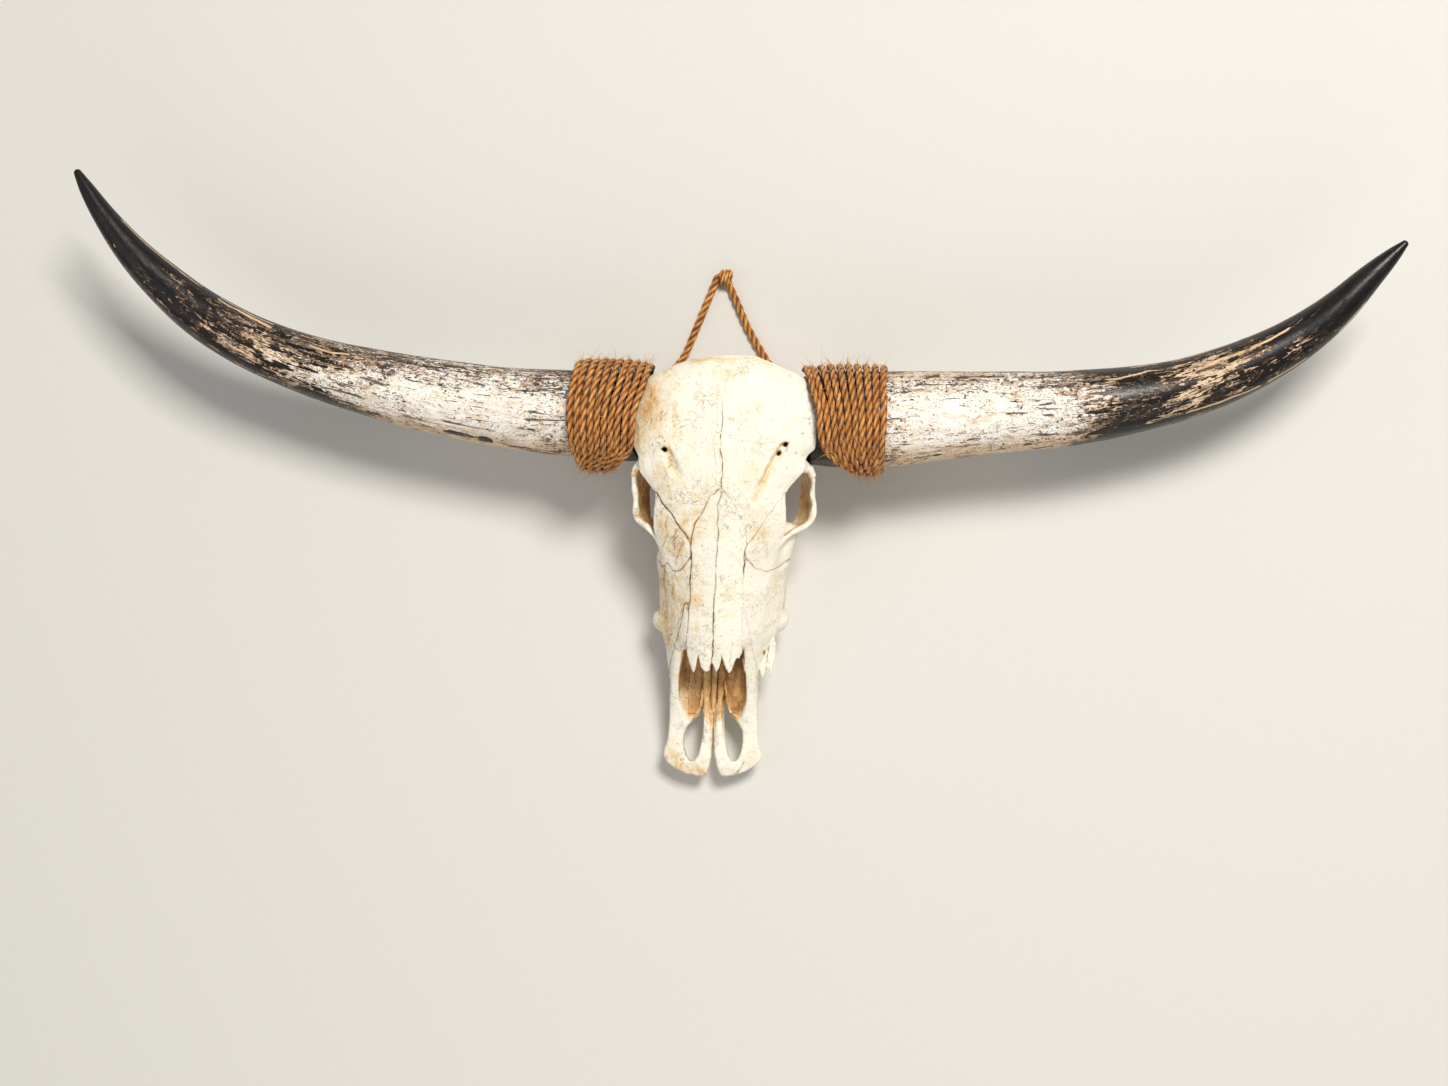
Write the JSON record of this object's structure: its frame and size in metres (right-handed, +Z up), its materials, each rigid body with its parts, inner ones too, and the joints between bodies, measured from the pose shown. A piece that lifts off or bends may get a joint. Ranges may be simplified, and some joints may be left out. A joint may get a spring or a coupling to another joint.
{
  "type": "longhorn steer skull with rope-wrapped horns",
  "caption": "Life-size cattle skull with long upswept horns, rope wound round the horn bases and a rope hanging loop, lying face up.",
  "frame": {"origin": "centre of the base of the box round the skull, horns and wraps, on the floor that the skull lies on", "axes": "+X to the right of the picture, along the spread of the horns; +Y from the nose towards the poll; +Z up, out of the face"},
  "size_m": [1.5428, 0.706, 0.1897],
  "materials": {
    "bone": "dry, sun-bleached bone, cream white with warm stains, matt",
    "horn": "horn sheath, black glossy tips that break into flaky cream and brown towards the base",
    "rope": "laid sisal rope, golden brown, hairy"
  },
  "bodies": {
    "root": {"cranium": "bone", "nasal_left": "bone", "nasal_right": "bone", "cheekbone_left": "bone", "cheekbone_right": "bone", "maxilla_left": "bone", "maxilla_right": "bone", "premaxilla_left": "bone", "premaxilla_right": "bone", "horn_left": "horn", "horn_right": "horn", "rope_wrap_left": "rope", "rope_wrap_right": "rope", "hanging_loop": "rope", "loop_knot": "rope"}
  },
  "joints": []
}
